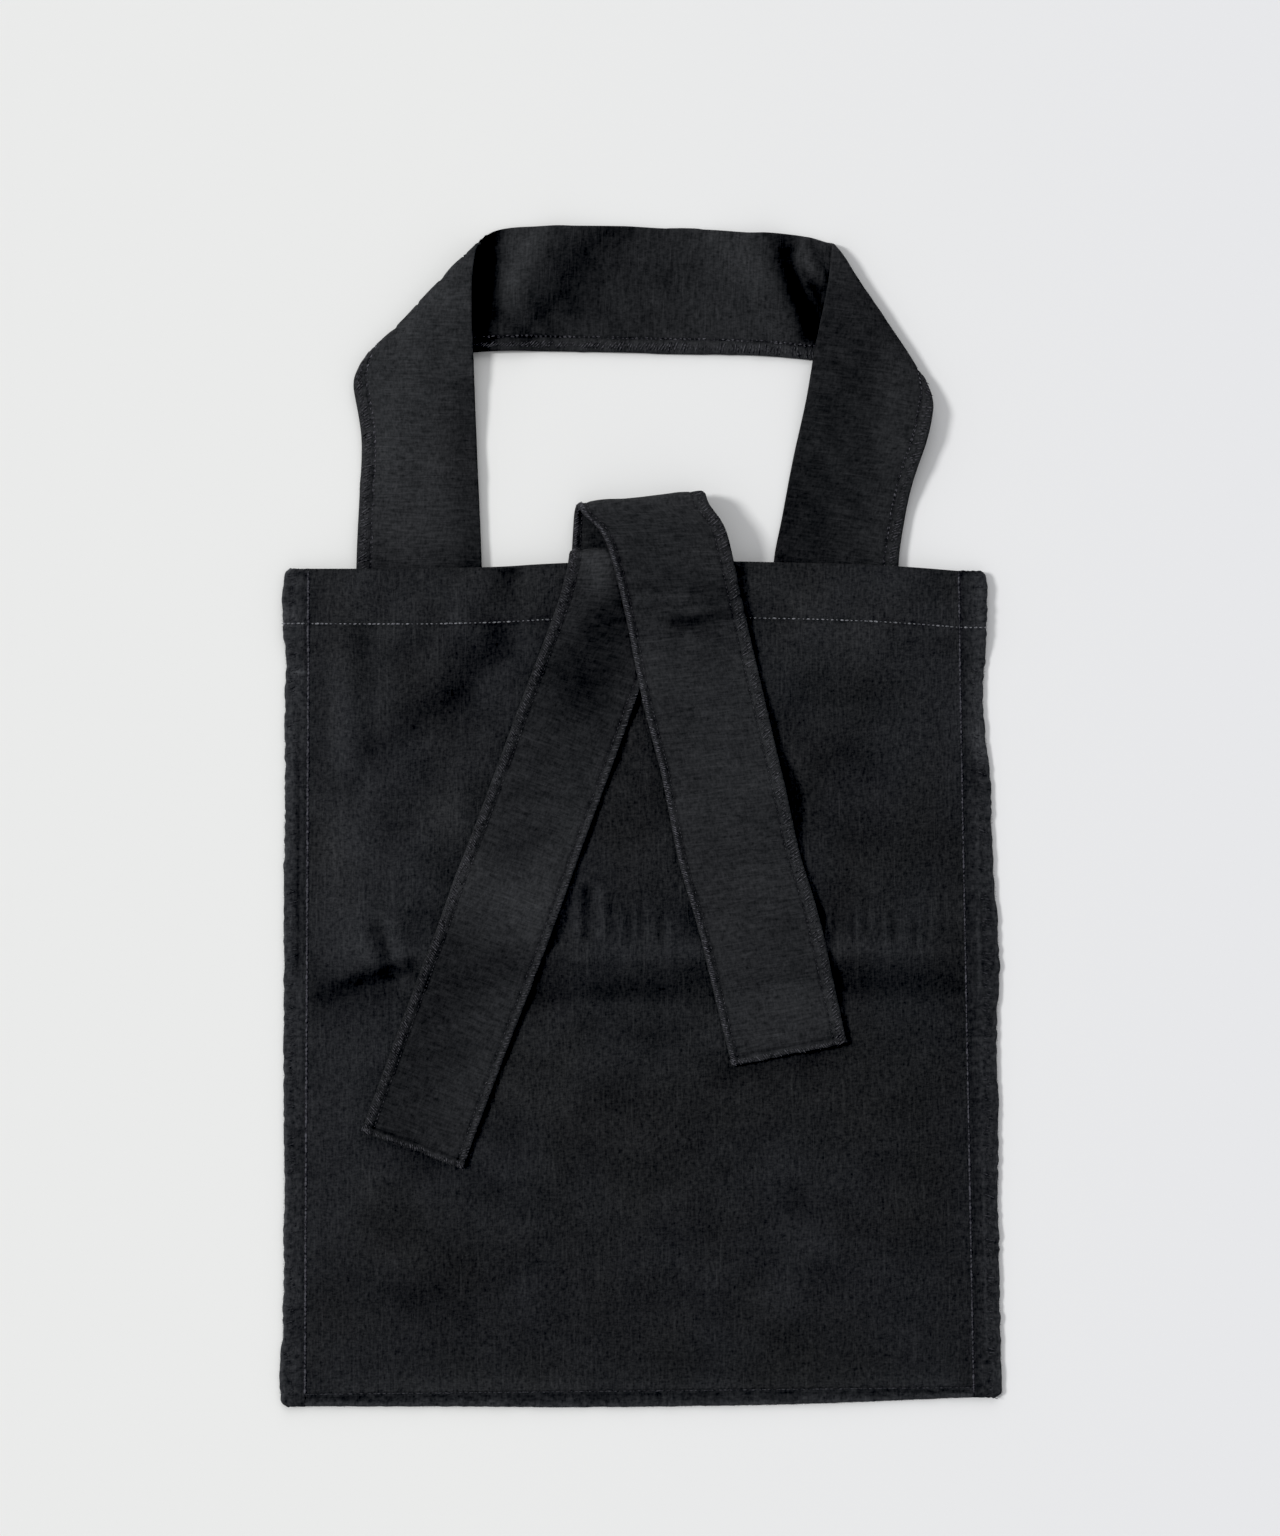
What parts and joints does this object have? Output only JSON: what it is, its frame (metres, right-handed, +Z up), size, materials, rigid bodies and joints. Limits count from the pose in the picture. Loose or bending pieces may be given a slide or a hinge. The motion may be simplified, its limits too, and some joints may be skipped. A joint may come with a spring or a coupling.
{
  "type": "tote bag",
  "caption": "Soft linen tote bag lying flat, with a wide handle folded over at its corners and wide ties that fall from its mouth over the front.",
  "frame": {"origin": "on the surface that the bag lies on, under the middle of its whole outline with the handle", "axes": "+X to the right across the front, +Y from the bag's bottom towards its handle, +Z up from the surface through the front"},
  "size_m": [0.3606, 0.5902, 0.0166],
  "materials": {
    "bag_cloth": "washed linen in plain weave, charcoal black, matt",
    "seam_cloth": "folded and overcast edge of the same linen, matt and hairy",
    "strap_cloth": "doubled linen with its slubs across the strap, matt"
  },
  "bodies": {
    "root": {"front_panel": "bag_cloth", "back_panel": "bag_cloth", "left_side_seam": "seam_cloth", "right_side_seam": "seam_cloth", "bottom_seam": "seam_cloth", "handle": "strap_cloth", "left_tie": "strap_cloth", "right_tie": "strap_cloth"}
  },
  "joints": []
}
